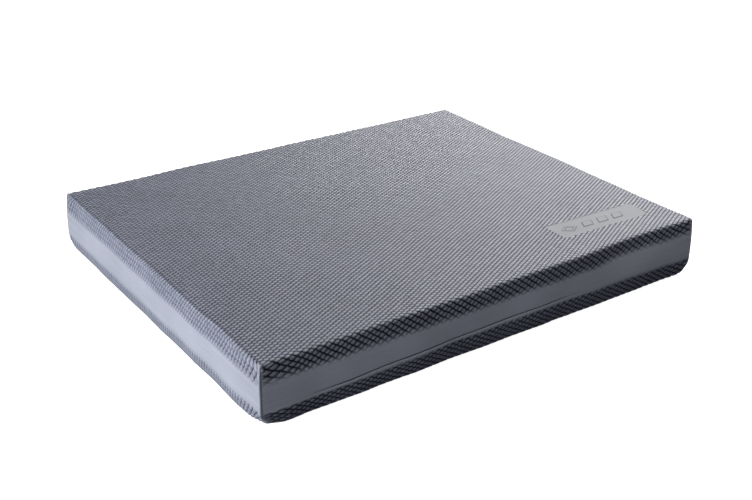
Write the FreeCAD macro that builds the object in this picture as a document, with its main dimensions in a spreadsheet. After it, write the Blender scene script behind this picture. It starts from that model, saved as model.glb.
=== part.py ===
"""Foam balance pad: four core sheets between two embossed cover sheets with turned rims, and a label patch.

The pad lies flat. The origin is at the middle of its underside, X runs along the long side and Z is up.
The sheets are fused face to face, so they meet exactly and no piece moves against another.
"""

import FreeCAD, Part
import Sketcher
import math
import os

SIZES = [
    ("pad_length", "500", "along X, where the sides are widest"),
    ("pad_width", "402", "along Y, where the sides are widest"),
    ("sheet_thickness", "10.5", "each of the six foam sheets"),
    ("corner_radius", "5", "upright corners of the sides"),
    ("top_edge_radius", "3", "crisp upper edge"),
    ("bottom_edge_radius", "7.5", "soft lower edge"),
    ("top_lean", "1.8", "how far the top cover leans in from its lip to its flat"),
    ("bottom_lean", "0.8", "how far the bottom cover leans in from its lip to its flat"),
    ("top_rim_height", "21", "top cover, flat and turned-down rim together"),
    ("bottom_rim_height", "25", "bottom cover, flat and turned-up rim together"),
    ("rim_lip", "2", "rim thickness at its free edge"),
    ("rim_root", "8", "rim thickness where it leaves the flat"),
    ("label_length", "113", "long side of the patch"),
    ("label_width", "31", "short side of the patch"),
    ("label_thickness", "1.2", "moulded patch"),
    ("label_recess", "1.7", "depth of its seat in the top cover"),
    ("label_corner_radius", "5", "corners of the patch"),
    ("label_inset_x", "29.5", "short side of the pad to the patch"),
    ("label_inset_y", "36", "long side of the pad to the patch"),
    ("label_turn", "-1.5", "degrees by which the patch lies askew"),
]

DERIVED = [
    ("pad_height", "=6 * sheet_thickness", "floor to standing surface"),
    ("lower_core_z", "=2 * sheet_thickness", "underside of the lower core sheet"),
    ("upper_core_z", "=3 * sheet_thickness", "underside of the upper core sheet"),
    ("top_lip_z", "=pad_height - top_rim_height", "lip of the top cover, under the top core sheet"),
    ("label_seat_z", "=pad_height - label_recess", "floor of the label's seat"),
    ("label_x", "=pad_length / 2 - label_inset_x - label_length / 2", "middle of the patch"),
    ("label_y", "=-pad_width / 2 + label_inset_y + label_width / 2", "middle of the patch"),
    ("seat_length", "=pad_length - 2 * rim_lip", "mouth of the hollow inside a rim"),
    ("seat_width", "=pad_width - 2 * rim_lip", "mouth of the hollow inside a rim"),
    ("rim_step", "=rim_root - rim_lip", "how much thicker a rim is at its root"),
    ("top_seat_depth", "=top_rim_height - sheet_thickness", "hollow of the top cover"),
    ("bottom_seat_depth", "=bottom_rim_height - sheet_thickness", "hollow of the bottom cover"),
    ("lower_core_tuck", "=bottom_rim_height - lower_core_z", "lower core sheet inside the rim"),
    ("lower_core_bare", "=upper_core_z - bottom_rim_height", "lower core sheet above the rim"),
    ("tuck_inset", "=lower_core_tuck * rim_step / bottom_seat_depth", "lean of the tucked part"),
    ("bottom_core_length", "=seat_length - 2 * tuck_inset", "top face of the bottom core sheet"),
    ("bottom_core_width", "=seat_width - 2 * tuck_inset", "top face of the bottom core sheet"),
    ("top_lean_angle", "=atan(top_lean / top_rim_height)", "outer face of the top rim"),
    ("bottom_lean_angle", "=atan(bottom_lean / bottom_rim_height)", "outer face of the bottom rim"),
    ("top_seat_angle", "=atan(rim_step / top_seat_depth)", "inner face of the top rim"),
    ("bottom_seat_angle", "=atan(rim_step / bottom_seat_depth)", "inner face of the bottom rim"),
]

ORIGIN_POINT = (-1, 1)
NEAR = 1e-4
MOST_OVERLAP = 1
LEAST_FILL = 0.98


def add_sizes(doc):
    """The sheet of driving sizes, in millimetres, with the sizes worked out from them below."""
    sheet = doc.addObject("Spreadsheet::Sheet", "Sizes")
    for row, (name, value, note) in enumerate(SIZES + DERIVED, start=1):
        sheet.set(f"A{row}", name)
        sheet.set(f"B{row}", value)
        sheet.set(f"C{row}", note)
        sheet.setAlias(f"B{row}", name)
    doc.recompute()
    return sheet


def add_body(doc, label):
    body = doc.addObject("PartDesign::Body", label)
    body.Label = label
    body.Placement = FreeCAD.Placement()
    return body


def add_flat_sketch(body, name, height):
    """An empty sketch on the body's own XY plane, raised to a height from the sheet."""
    sketch = body.newObject("Sketcher::SketchObject", name)
    plane = next(f for f in body.Origin.OriginFeatures if f.Role == "XY_Plane")
    sketch.AttachmentSupport = (plane, "")
    sketch.MapMode = "FlatFace"
    sketch.setExpression("AttachmentOffset.Base.z", f"Sizes.{height}")
    return sketch


def move_to_label(sketch):
    """Puts a sketch at the middle of the label patch, turned by the angle at which the patch lies askew."""
    sketch.setExpression("AttachmentOffset.Base.x", "Sizes.label_x")
    sketch.setExpression("AttachmentOffset.Base.y", "Sizes.label_y")
    sketch.setExpression("AttachmentOffset.Rotation.Angle", "Sizes.label_turn")


def bind(sketch, constraint, name, size):
    """Adds a named driving constraint whose value comes from the sheet."""
    index = sketch.addConstraint(constraint)
    sketch.renameConstraint(index, name)
    sketch.setExpression(f"Constraints.{name}", f"Sizes.{size}")


def draw_rectangle(sketch, sheet, length, width):
    """A sharp-cornered rectangle about the sketch origin."""
    half_x = sheet.get(length) / 2
    half_y = sheet.get(width) / 2
    corners = [(-half_x, -half_y), (half_x, -half_y), (half_x, half_y), (-half_x, half_y)]
    points = [FreeCAD.Vector(x, y, 0) for x, y in corners]
    for start, end in zip(points, points[1:] + points[:1]):
        sketch.addGeometry(Part.LineSegment(start, end), False)
    for side in range(4):
        sketch.addConstraint(Sketcher.Constraint("Coincident", side, 2, (side + 1) % 4, 1))
    for side, direction in enumerate(["Horizontal", "Vertical", "Horizontal", "Vertical"]):
        sketch.addConstraint(Sketcher.Constraint(direction, side))
    sketch.addConstraint(Sketcher.Constraint("Symmetric", 0, 1, 1, 2, *ORIGIN_POINT))
    bind(sketch, Sketcher.Constraint("DistanceX", 0, 1, 0, 2, 2 * half_x), "length", length)
    bind(sketch, Sketcher.Constraint("DistanceY", 1, 1, 1, 2, 2 * half_y), "width", width)


def draw_rounded_rectangle(sketch, sheet, length, width, radius):
    """A rectangle with four equal corner arcs about the sketch origin. Lines are 0 to 3 and arcs 4 to 7."""
    half_x = sheet.get(length) / 2
    half_y = sheet.get(width) / 2
    arc_radius = sheet.get(radius)
    near_x = half_x - arc_radius
    near_y = half_y - arc_radius
    lines = [
        ((-near_x, -half_y), (near_x, -half_y)),
        ((half_x, -near_y), (half_x, near_y)),
        ((near_x, half_y), (-near_x, half_y)),
        ((-half_x, near_y), (-half_x, -near_y)),
    ]
    centres = [(near_x, -near_y), (near_x, near_y), (-near_x, near_y), (-near_x, -near_y)]
    for start, end in lines:
        sketch.addGeometry(
            Part.LineSegment(FreeCAD.Vector(*start, 0), FreeCAD.Vector(*end, 0)), False
        )
    for turn, (x, y) in enumerate(centres):
        circle = Part.Circle(FreeCAD.Vector(x, y, 0), FreeCAD.Vector(0, 0, 1), arc_radius)
        start_angle = math.radians(90 * (turn - 1))
        arc = Part.ArcOfCircle(circle, start_angle, start_angle + math.pi / 2)
        sketch.addGeometry(arc, False)
    for side in range(4):
        arc = side + 4
        sketch.addConstraint(Sketcher.Constraint("Tangent", side, 2, arc, 1))
        sketch.addConstraint(Sketcher.Constraint("Tangent", arc, 2, (side + 1) % 4, 1))
    for side, direction in enumerate(["Horizontal", "Vertical", "Horizontal", "Vertical"]):
        sketch.addConstraint(Sketcher.Constraint(direction, side))
    for arc in (5, 6, 7):
        sketch.addConstraint(Sketcher.Constraint("Equal", 4, arc))
    sketch.addConstraint(Sketcher.Constraint("Symmetric", 4, 3, 6, 3, *ORIGIN_POINT))
    bind(sketch, Sketcher.Constraint("DistanceX", 3, 1, 1, 1, 2 * half_x), "length", length)
    bind(sketch, Sketcher.Constraint("DistanceY", 0, 1, 2, 1, 2 * half_y), "width", width)
    bind(sketch, Sketcher.Constraint("Radius", 4, arc_radius), "radius", radius)


def add_pad(body, name, sketch, thickness, taper=None, downward=False):
    """Thickens a sketch up or down. The taper is the angle, from the sheet, by which the sides lean in."""
    pad = body.newObject("PartDesign::Pad", name)
    pad.Profile = sketch
    pad.Reversed = downward
    pad.setExpression("Length", f"Sizes.{thickness}")
    if taper:
        pad.setExpression("TaperAngle", f"-Sizes.{taper}")
    return pad


def add_pocket(body, name, sketch, depth, taper=None, upward=False):
    """Cuts a sketch down, or up, into the body. The taper is the angle by which the walls close in."""
    pocket = body.newObject("PartDesign::Pocket", name)
    pocket.Profile = sketch
    pocket.Reversed = upward
    pocket.setExpression("Length", f"Sizes.{depth}")
    if taper:
        pocket.setExpression("TaperAngle", f"-Sizes.{taper}")
    return pocket


def outer_edges(feature, flat_height):
    """Names of the edges of the feature that lie in the horizontal plane at the given height."""
    names = []
    for index, edge in enumerate(feature.Shape.Edges, start=1):
        box = edge.BoundBox
        if abs(box.ZMin - flat_height) < NEAR and abs(box.ZMax - flat_height) < NEAR:
            names.append(f"Edge{index}")
    return names


def round_flat_edge(body, name, feature, flat_height, radius):
    """Rounds the whole rim of the cover's flat face."""
    body.Document.recompute()
    fillet = body.newObject("PartDesign::Fillet", name)
    fillet.Base = (feature, outer_edges(feature, flat_height))
    fillet.setExpression("Radius", f"Sizes.{radius}")
    return fillet


def build_bottom_cover(doc, sheet):
    """Embossed bottom sheet: a shallow tray with a rounded underside edge and a rim thinning to its lip."""
    body = add_body(doc, "bottom_cover_sheet")
    outline = add_flat_sketch(body, "BottomOutline", "bottom_rim_height")
    draw_rounded_rectangle(outline, sheet, "pad_length", "pad_width", "corner_radius")
    blank = add_pad(
        body, "BottomBlank", outline, "bottom_rim_height", "bottom_lean_angle", downward=True
    )
    round_flat_edge(body, "BottomEdge", blank, 0, "bottom_edge_radius")
    seat = add_flat_sketch(body, "BottomSeatOutline", "bottom_rim_height")
    draw_rectangle(seat, sheet, "seat_length", "seat_width")
    add_pocket(body, "BottomSeat", seat, "bottom_seat_depth", "bottom_seat_angle")
    return body


def build_bottom_core(doc, sheet):
    """Lowest core sheet, bevelled all round and hidden inside the rim of the bottom cover."""
    body = add_body(doc, "bottom_core_sheet")
    outline = add_flat_sketch(body, "BottomCoreOutline", "lower_core_z")
    draw_rectangle(outline, sheet, "bottom_core_length", "bottom_core_width")
    add_pad(
        body, "BottomCoreThickness", outline, "sheet_thickness", "bottom_seat_angle", downward=True
    )
    return body


def build_lower_core(doc, sheet):
    """Second core sheet: tucked into the bottom cover below, its bare edge showing above the rim."""
    body = add_body(doc, "lower_core_sheet")
    outline = add_flat_sketch(body, "LowerCoreOutline", "bottom_rim_height")
    draw_rounded_rectangle(outline, sheet, "pad_length", "pad_width", "corner_radius")
    add_pad(body, "LowerCoreBare", outline, "lower_core_bare")
    tucked = add_flat_sketch(body, "TuckedOutline", "bottom_rim_height")
    draw_rectangle(tucked, sheet, "seat_length", "seat_width")
    add_pad(body, "LowerCoreTuck", tucked, "lower_core_tuck", "bottom_seat_angle", downward=True)
    return body


def build_upper_core(doc, sheet):
    """Third core sheet, plain, with its whole edge showing in the band between the two covers."""
    body = add_body(doc, "upper_core_sheet")
    outline = add_flat_sketch(body, "UpperCoreOutline", "upper_core_z")
    draw_rounded_rectangle(outline, sheet, "pad_length", "pad_width", "corner_radius")
    add_pad(body, "UpperCoreThickness", outline, "sheet_thickness")
    return body


def build_top_core(doc, sheet):
    """Highest core sheet, bevelled all round and hidden inside the rim of the top cover."""
    body = add_body(doc, "top_core_sheet")
    seated = add_flat_sketch(body, "TopCoreOutline", "top_lip_z")
    draw_rectangle(seated, sheet, "seat_length", "seat_width")
    add_pad(body, "TopCoreThickness", seated, "top_seat_depth", "top_seat_angle")
    return body


def build_top_cover(doc, sheet):
    """Embossed top sheet: a shallow lid with a crisp upper edge and a seat for the label patch."""
    body = add_body(doc, "top_cover_sheet")
    outline = add_flat_sketch(body, "TopOutline", "top_lip_z")
    draw_rounded_rectangle(outline, sheet, "pad_length", "pad_width", "corner_radius")
    blank = add_pad(body, "TopBlank", outline, "top_rim_height", "top_lean_angle")
    round_flat_edge(body, "TopEdge", blank, sheet.get("pad_height"), "top_edge_radius")
    seat = add_flat_sketch(body, "TopSeatOutline", "top_lip_z")
    draw_rectangle(seat, sheet, "seat_length", "seat_width")
    add_pocket(body, "TopSeat", seat, "top_seat_depth", "top_seat_angle", upward=True)
    label_seat = add_flat_sketch(body, "LabelSeatOutline", "pad_height")
    move_to_label(label_seat)
    draw_rounded_rectangle(
        label_seat, sheet, "label_length", "label_width", "label_corner_radius"
    )
    add_pocket(body, "LabelSeat", label_seat, "label_recess")
    return body


def build_label_patch(doc, sheet):
    """Smooth blank patch fused into the seat near one corner, just below the level of the pattern."""
    body = add_body(doc, "label_patch")
    outline = add_flat_sketch(body, "LabelOutline", "label_seat_z")
    move_to_label(outline)
    draw_rounded_rectangle(outline, sheet, "label_length", "label_width", "label_corner_radius")
    add_pad(body, "LabelThickness", outline, "label_thickness")
    return body


def build_pad(doc, sheet):
    return [
        build_bottom_cover(doc, sheet),
        build_bottom_core(doc, sheet),
        build_lower_core(doc, sheet),
        build_upper_core(doc, sheet),
        build_top_core(doc, sheet),
        build_top_cover(doc, sheet),
        build_label_patch(doc, sheet),
    ]


def check_objects(doc):
    """Stops if any object failed to compute, which a recompute does not report by itself."""
    for item in doc.Objects:
        if "Invalid" in item.State or "Error" in item.State:
            raise RuntimeError(f"{item.Name} failed: {item.State}")


def check_sub_parts(bodies):
    """Stops if a sub-part is empty, broken or in several pieces, or overlaps one of the others."""
    for body in bodies:
        if body.Shape.isNull() or not body.Shape.isValid() or len(body.Shape.Solids) != 1:
            raise RuntimeError(f"{body.Label} is not one valid solid")
    for index, body in enumerate(bodies):
        for other in bodies[index + 1 :]:
            if body.Shape.common(other.Shape).Volume > MOST_OVERLAP:
                raise RuntimeError(f"{body.Label} overlaps {other.Label}")


def check_fill(bodies, sheet):
    """Stops if a seat was cut the wrong way: the sheets have to fill the pad but for its small roundings."""
    volume = sum(body.Shape.Volume for body in bodies)
    block = sheet.get("pad_length") * sheet.get("pad_width") * sheet.get("pad_height")
    share = volume / block
    print(f"volume {volume / 1e6:.3f} litres, {share:.4f} of the block")
    if not LEAST_FILL < share < 1:
        raise RuntimeError("the sheets leave a hollow or stand out of the block")


def export_sub_parts(bodies):
    os.makedirs("parts", exist_ok=True)
    for body in bodies:
        body.Shape.exportStep(f"parts/{body.Label}.step")
        box = body.Shape.BoundBox
        print(
            f"{body.Label}: {box.XLength:.1f} x {box.YLength:.1f} x {box.ZLength:.1f},",
            f"z {box.ZMin:.1f} to {box.ZMax:.1f}, {body.Shape.Volume / 1e3:.1f} cm3",
        )


def main():
    doc = FreeCAD.newDocument("BalancePad")
    sheet = add_sizes(doc)
    bodies = build_pad(doc, sheet)
    doc.recompute()
    check_objects(doc)
    check_sub_parts(bodies)
    check_fill(bodies, sheet)
    export_sub_parts(bodies)


main()
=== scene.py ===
import math

import bmesh
import bpy
import numpy as np
from mathutils import Matrix, Vector


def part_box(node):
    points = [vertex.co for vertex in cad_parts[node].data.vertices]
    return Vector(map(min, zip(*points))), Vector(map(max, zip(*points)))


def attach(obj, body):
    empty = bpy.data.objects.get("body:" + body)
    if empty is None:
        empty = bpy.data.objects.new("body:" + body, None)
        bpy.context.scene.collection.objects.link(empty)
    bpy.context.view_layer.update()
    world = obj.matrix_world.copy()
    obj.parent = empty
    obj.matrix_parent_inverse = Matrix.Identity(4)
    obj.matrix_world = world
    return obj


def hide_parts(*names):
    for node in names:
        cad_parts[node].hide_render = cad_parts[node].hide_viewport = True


# An embossed foam balance pad, lying flat with the long side along X and the label at the front right.
# Shapes are worked out in millimetres. Each cover starts as a flat sheet of raised lozenges, is cut to size,
# wrapped over the edge of the pad and closed on the inside. A gentle settling of the foam then goes over all.

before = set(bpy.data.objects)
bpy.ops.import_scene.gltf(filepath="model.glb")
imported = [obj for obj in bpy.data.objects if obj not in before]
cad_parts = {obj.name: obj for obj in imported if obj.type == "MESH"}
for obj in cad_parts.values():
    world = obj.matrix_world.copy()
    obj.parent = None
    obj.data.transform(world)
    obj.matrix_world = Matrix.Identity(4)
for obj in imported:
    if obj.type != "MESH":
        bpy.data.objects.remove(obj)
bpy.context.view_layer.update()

MM = 0.001
HALF_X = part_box("upper_core_sheet")[1].x / MM
HALF_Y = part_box("upper_core_sheet")[1].y / MM
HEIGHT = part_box("top_cover_sheet")[1].z / MM
TOP_LIP_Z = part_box("top_cover_sheet")[0].z / MM
SEAM_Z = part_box("bottom_cover_sheet")[1].z / MM
TOP_SEAT_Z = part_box("top_core_sheet")[1].z / MM
BOTTOM_SEAT_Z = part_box("bottom_core_sheet")[0].z / MM
LOWER_CORE_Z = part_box("lower_core_sheet")[0].z / MM
UPPER_CORE_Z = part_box("upper_core_sheet")[0].z / MM
LABEL_SEAT_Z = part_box("label_patch")[0].z / MM
LABEL_TOP_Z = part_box("label_patch")[1].z / MM

# Section of the sides: widest at one height, drawn in above and below it.
WIDEST_Z = 19.0
TOP_DRAW_IN = 1.8
TOP_DRAW_SPAN = 41.0
BOTTOM_DRAW_IN = 1.67
BOTTOM_DRAW_SPAN = 11.5
TOP_EDGE_RADIUS = 3.0
BOTTOM_EDGE_RADIUS = 7.5

# Upright corners: the usual radius, the sharper one at the left front, and the one at the foot of them all.
UPRIGHT_RADIUS = 3.4
SHARP_RADIUS = 0.9
FOOT_RADIUS = 6.5
FOOT_HEIGHT = 16.0

# The covers' rims: how far in they are at the lip, and at the seat of the core.
RIM_LIP = 2.0
RIM_ROOT = 8.0
RIM_TUCK = (RIM_ROOT - RIM_LIP) * (SEAM_Z - LOWER_CORE_Z) / (SEAM_Z - BOTTOM_SEAT_Z)

# The embossed pattern. The shares say how much of a lozenge its slopes take up, at its tips and at its sides.
LOZENGE_LENGTH = 8.235
LOZENGE_WIDTH = 4.152
TIP_SHARE = 0.24
SIDE_SHARE = 0.2
ROUND_HALF = (2.76, 1.75)
GROOVE_DEPTH = 1.0
CROWN = 1.12
HEIGHT_JITTER = 0.06
WARP = 0.7
WARP_LENGTH = 130.0
FINE_WARP = 0.25
FINE_WARP_LENGTH = 13.0
FOLD_SPACING = 1.6

# Over the edges the pattern is stretched, across the short sides and across the long ones, and leans over.
TOP_STRETCH = (1.25, 1.33)
BOTTOM_STRETCH = (1.1, 1.2)
TOP_LEAN_FRONT = -0.15
TOP_LEAN_LEFT = 0.25

# How much the grooves open up where the pattern goes over an edge: at the front, at the left, elsewhere.
OPENED_FRONT = 0.85
OPENED_LEFT = 0.6
OPENED_OTHER = 1.2

# Heights at which the pattern has half died out on the sides, and over how much it does so.
TOP_FADE_FRONT = 46.5
TOP_FADE_RIGHT_RISE = 2.5
TOP_FADE_LEFT = 44.6
TOP_FADE_OTHER = 45.0
TOP_FADE_SOFT = 4.5
TOP_FADE_CRISP = 2.8
BOTTOM_FADE_FRONT = 18.6
BOTTOM_FADE_OTHER = 17.8
BOTTOM_FADE = 1.2

# Near each upright corner the pattern is drawn out along the edge. This is how much of it is used up by
# the drawing: first for the top cover, at the left front corner and at the others, then for the bottom cover.
DRAW_LENGTH = 30.0
TOP_DRAWN_LEFT_FRONT = 7.0
TOP_DRAWN = 6.0
BOTTOM_DRAWN = 2.0
PINCH_WIDTH = 0.6
PINCH_FADE = 3.0

# A fine pinched line runs along the border of each flat, also darkened with painted shade.
CREASE_MIDDLE = 0.2
CREASE_HALF = 1.6
CREASE_DEPTH = 0.15
CREASE_PAINTED_SHADE = 0.12

# The joint line above the bottom cover: its slit, and how far it rises and falls along the front.
SEAM_DEPTH = 0.8
SEAM_HALF = 0.9
SEAM_X = (-250.0, -170.0, -105.0, -30.0, 60.0, 140.0, 250.0)
SEAM_RISE = (-4.2, -3.5, -1.5, 0.6, 1.0, 0.5, 0.0)

# The settling of the foam: slow waves, the swollen right of the front edge, the sagging left front corner,
# the lifted corner of the foot and the uneven outline of the foot.
SIDE_WAVE = 0.5
TOP_SWELL = 0.35
BOW_CENTRE = 165.0
BOW_HALF = 95.0
BOW_RISE = 1.6
BOW_OUT = 1.2
SAG_HALF = 110.0
SAG_OUT = 1.3
LIFT_REACH = 28.0
LIFT_RISE = 3.2
LIFT_IN = 2.6
FOOT_LEVEL = 0.05
FOOT_WAVE = 0.18

# The label patch: corners are left front, right front, right back, left back.
LABEL_CENTRE = (164.0, -149.5)
LABEL_HALF = (56.5, 15.5)
LABEL_TURN = -1.5
LABEL_CORNERS = (6.0, 10.0, 7.0, 2.5)
LABEL_GAP = 0.1
LABEL_STEP = 0.6
LABEL_BORDER = 0.35

# The blank relief on the label: a lozenge frame and a row of slanted blocks.
RELIEF_HEIGHT = 0.5
FRAME_CENTRE = -38.0
FRAME_HALF = (10.5, 7.5)
BLOCK_CENTRES = (-14.0, 6.0, 26.0)
BLOCK_HALF = (6.4, 5.2)
BLOCK_SLANT = 0.55
# Painted shade: how strongly the shoulders of the raised marks are darkened.
OUTLINE_PAINTED_SHADE = 4.0

# How finely the bare sides of the core are divided.
SIDE_STEPS = 100
CORNER_STEPS = 6

# Looks. The painted shade line down the left front corner goes from its full darkening to nought between two
# distances from the left front corner.
CORNER_LINE = (1.2, 2.6)
CORNER_PAINTED_SHADE = 0.7
# Painted shade: how far the embossed skin is darkened on the front side, which faces away from the lights.
FRONT_SHADE = 0.64
GRAIN_SCALE = 1100.0
SPECKLE_SCALE = 230.0
MOTTLE_SCALE = 16.0
STREAK_STRETCH = (14.0, 14.0, 650.0)
GRAIN_HEIGHT = 0.00006
STREAK_HEIGHT = 0.00003
DRAG_HEIGHT = 0.00008
PLAIN_SKIN = (0.305, 0.31, 0.355, 1)
RAISED_SKIN = (0.191, 0.198, 0.243, 1)
# Painted shade: the near-black colour given to the grooves, the slits and the darkened lines.
GROOVE_PAINTED_SHADE = (0.009, 0.009, 0.016, 1)
LABEL_SKIN = (0.25, 0.255, 0.28, 1)
# Painted shade: the colour of the darkened outlines round the label's marks.
LABEL_OUTLINE_SHADE = (0.06, 0.06, 0.07, 1)

# The studio. Each softbox has a name, a place, a size, a power and a colour, and faces the middle of the pad.
FLOOR_HALF = 8.0
LIGHT_TARGET = (0.0, 0.0, 0.04)
SOFTBOXES = (
    ("left softbox", (-1.7, -0.16, 0.42), (1.0, 0.7), 46.5, (0.92, 0.96, 1.0)),
    ("back right softbox", (1.3, 1.2, 0.8), (1.2, 0.8), 10.0, (0.9, 0.95, 1.0)),
    ("back fill", (0.9, 0.75, 0.55), (0.7, 0.5), 7.2, (1.0, 0.93, 0.85)),
    ("right softbox", (0.9, -0.1, 0.8), (0.7, 0.5), 15.5, (1.0, 1.0, 0.95)),
    ("front softbox", (-0.7, -2.1, 0.4), (1.0, 0.7), 8.3, (0.86, 0.89, 1.0)),
)
SKY_STRENGTH = 0.05
SKY_COLOUR = (0.78, 0.89, 1.0, 1)
SKY_FROM = 0.3
SKY_FULL = 0.55

CAMERA_AZIMUTH = -35.71
CAMERA_ELEVATION = 26.088
CAMERA_ROLL = 1.075
CAMERA_DISTANCE = 1.14917
CAMERA_SIDE = 0.001565
CAMERA_LIFT = 0.011604
CAMERA_LENS = 53.14
SENSOR_WIDTH = 36.0

TINY = 1e-6
RANDOM = np.random.default_rng(7)


def smoothstep(value, start, end):
    """Nought before the start and one after the end, with a smooth change between."""
    t = np.clip((value - start) / (end - start), 0.0, 1.0)
    return t * t * (3.0 - 2.0 * t)


def bump_at(value, centre, half_width):
    """A smooth hill, one at the centre and nought beyond the half width."""
    return 1.0 - smoothstep(np.abs(value - centre), 0.0, half_width)


def make_ripple(wavelength, waves=6):
    """A seeded soft wave field over a plane or along a line, about -1 to 1."""
    angles = RANDOM.uniform(0.0, 2.0 * math.pi, waves)
    lengths = wavelength * RANDOM.uniform(0.7, 1.5, waves)
    phases = RANDOM.uniform(0.0, 2.0 * math.pi, waves)

    def ripple(a, b):
        total = 0.0
        for angle, length, phase in zip(angles, lengths, phases):
            along = a * math.cos(angle) + b * math.sin(angle)
            total = total + np.sin(2.0 * math.pi * along / length + phase)
        return total / math.sqrt(waves * 2.0)

    return ripple


slow_u = make_ripple(WARP_LENGTH)
slow_v = make_ripple(WARP_LENGTH)
fine_u = make_ripple(FINE_WARP_LENGTH)
fine_v = make_ripple(FINE_WARP_LENGTH)
swell = make_ripple(120.0)
side_wave = make_ripple(90.0)
foot_wave = make_ripple(26.0)
fade_wave = make_ripple(34.0)


def lattice_shift(u, v):
    """How far the pattern is moved from a perfectly regular lattice at a place of the flat sheet."""
    shift_u = WARP * slow_u(u, v) + FINE_WARP * fine_u(u, v)
    shift_v = WARP * slow_v(u, v) + FINE_WARP * fine_v(u, v)
    return shift_u, shift_v


def side_inset(z):
    """How far the side stands in from its widest outline at a height."""
    above = np.clip((z - WIDEST_Z) / TOP_DRAW_SPAN, 0.0, None)
    below = np.clip((WIDEST_Z - z) / BOTTOM_DRAW_SPAN, 0.0, None)
    return TOP_DRAW_IN * above**2 + BOTTOM_DRAW_IN * below**2


def side_slope(z):
    """How steeply the side goes in or out at a height."""
    step = 0.01
    return abs(side_inset(z + step) - side_inset(z - step)) / (2.0 * step)


class Section:
    """Section of a cover from the border of its flat, over the rounded edge and along the side to its lip."""

    def __init__(self, flat_z, lip_z, radius):
        self.up = 1.0 if flat_z > lip_z else -1.0
        turn = math.pi / 2.0
        for _ in range(30):
            joint_z = flat_z - self.up * radius * (1.0 - math.cos(turn))
            turn = math.pi / 2.0 - math.atan(side_slope(joint_z))
        self.flat_z = flat_z
        self.lip_z = lip_z
        self.flat_inset = side_inset(joint_z) + radius * math.sin(turn)
        self.round_length = radius * turn
        angles = np.linspace(0.0, turn, 40)
        side_z = np.linspace(joint_z, lip_z, 80)[1:]
        round_inset = self.flat_inset - radius * np.sin(angles)
        round_z = flat_z - self.up * radius * (1.0 - np.cos(angles))
        self.inset = np.concatenate([round_inset, side_inset(side_z)])
        self.z = np.concatenate([round_z, side_z])
        steps = np.hypot(np.diff(self.inset), np.diff(self.z))
        self.length = np.concatenate([[0.0], np.cumsum(steps)])
        self.out_slope = -np.gradient(self.inset, self.length)
        self.z_slope = np.gradient(self.z, self.length)
        self.flat_x = HALF_X - self.flat_inset
        self.flat_y = HALF_Y - self.flat_inset

    def at(self, depth):
        """Inset, height, and the outward and upward parts of the surface direction at a depth."""
        inset = np.interp(depth, self.length, self.inset)
        z = np.interp(depth, self.length, self.z)
        out = -self.up * np.interp(depth, self.length, self.z_slope)
        rise = self.up * np.interp(depth, self.length, self.out_slope)
        return inset, z, out, rise


def upright_radius(z, left_front):
    """Radius of the upright corners, larger towards the foot and smallest at the left front."""
    radius = np.where(left_front, SHARP_RADIUS, UPRIGHT_RADIUS)
    return radius + (FOOT_RADIUS - radius) * (1.0 - smoothstep(z, 3.0, FOOT_HEIGHT))


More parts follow.
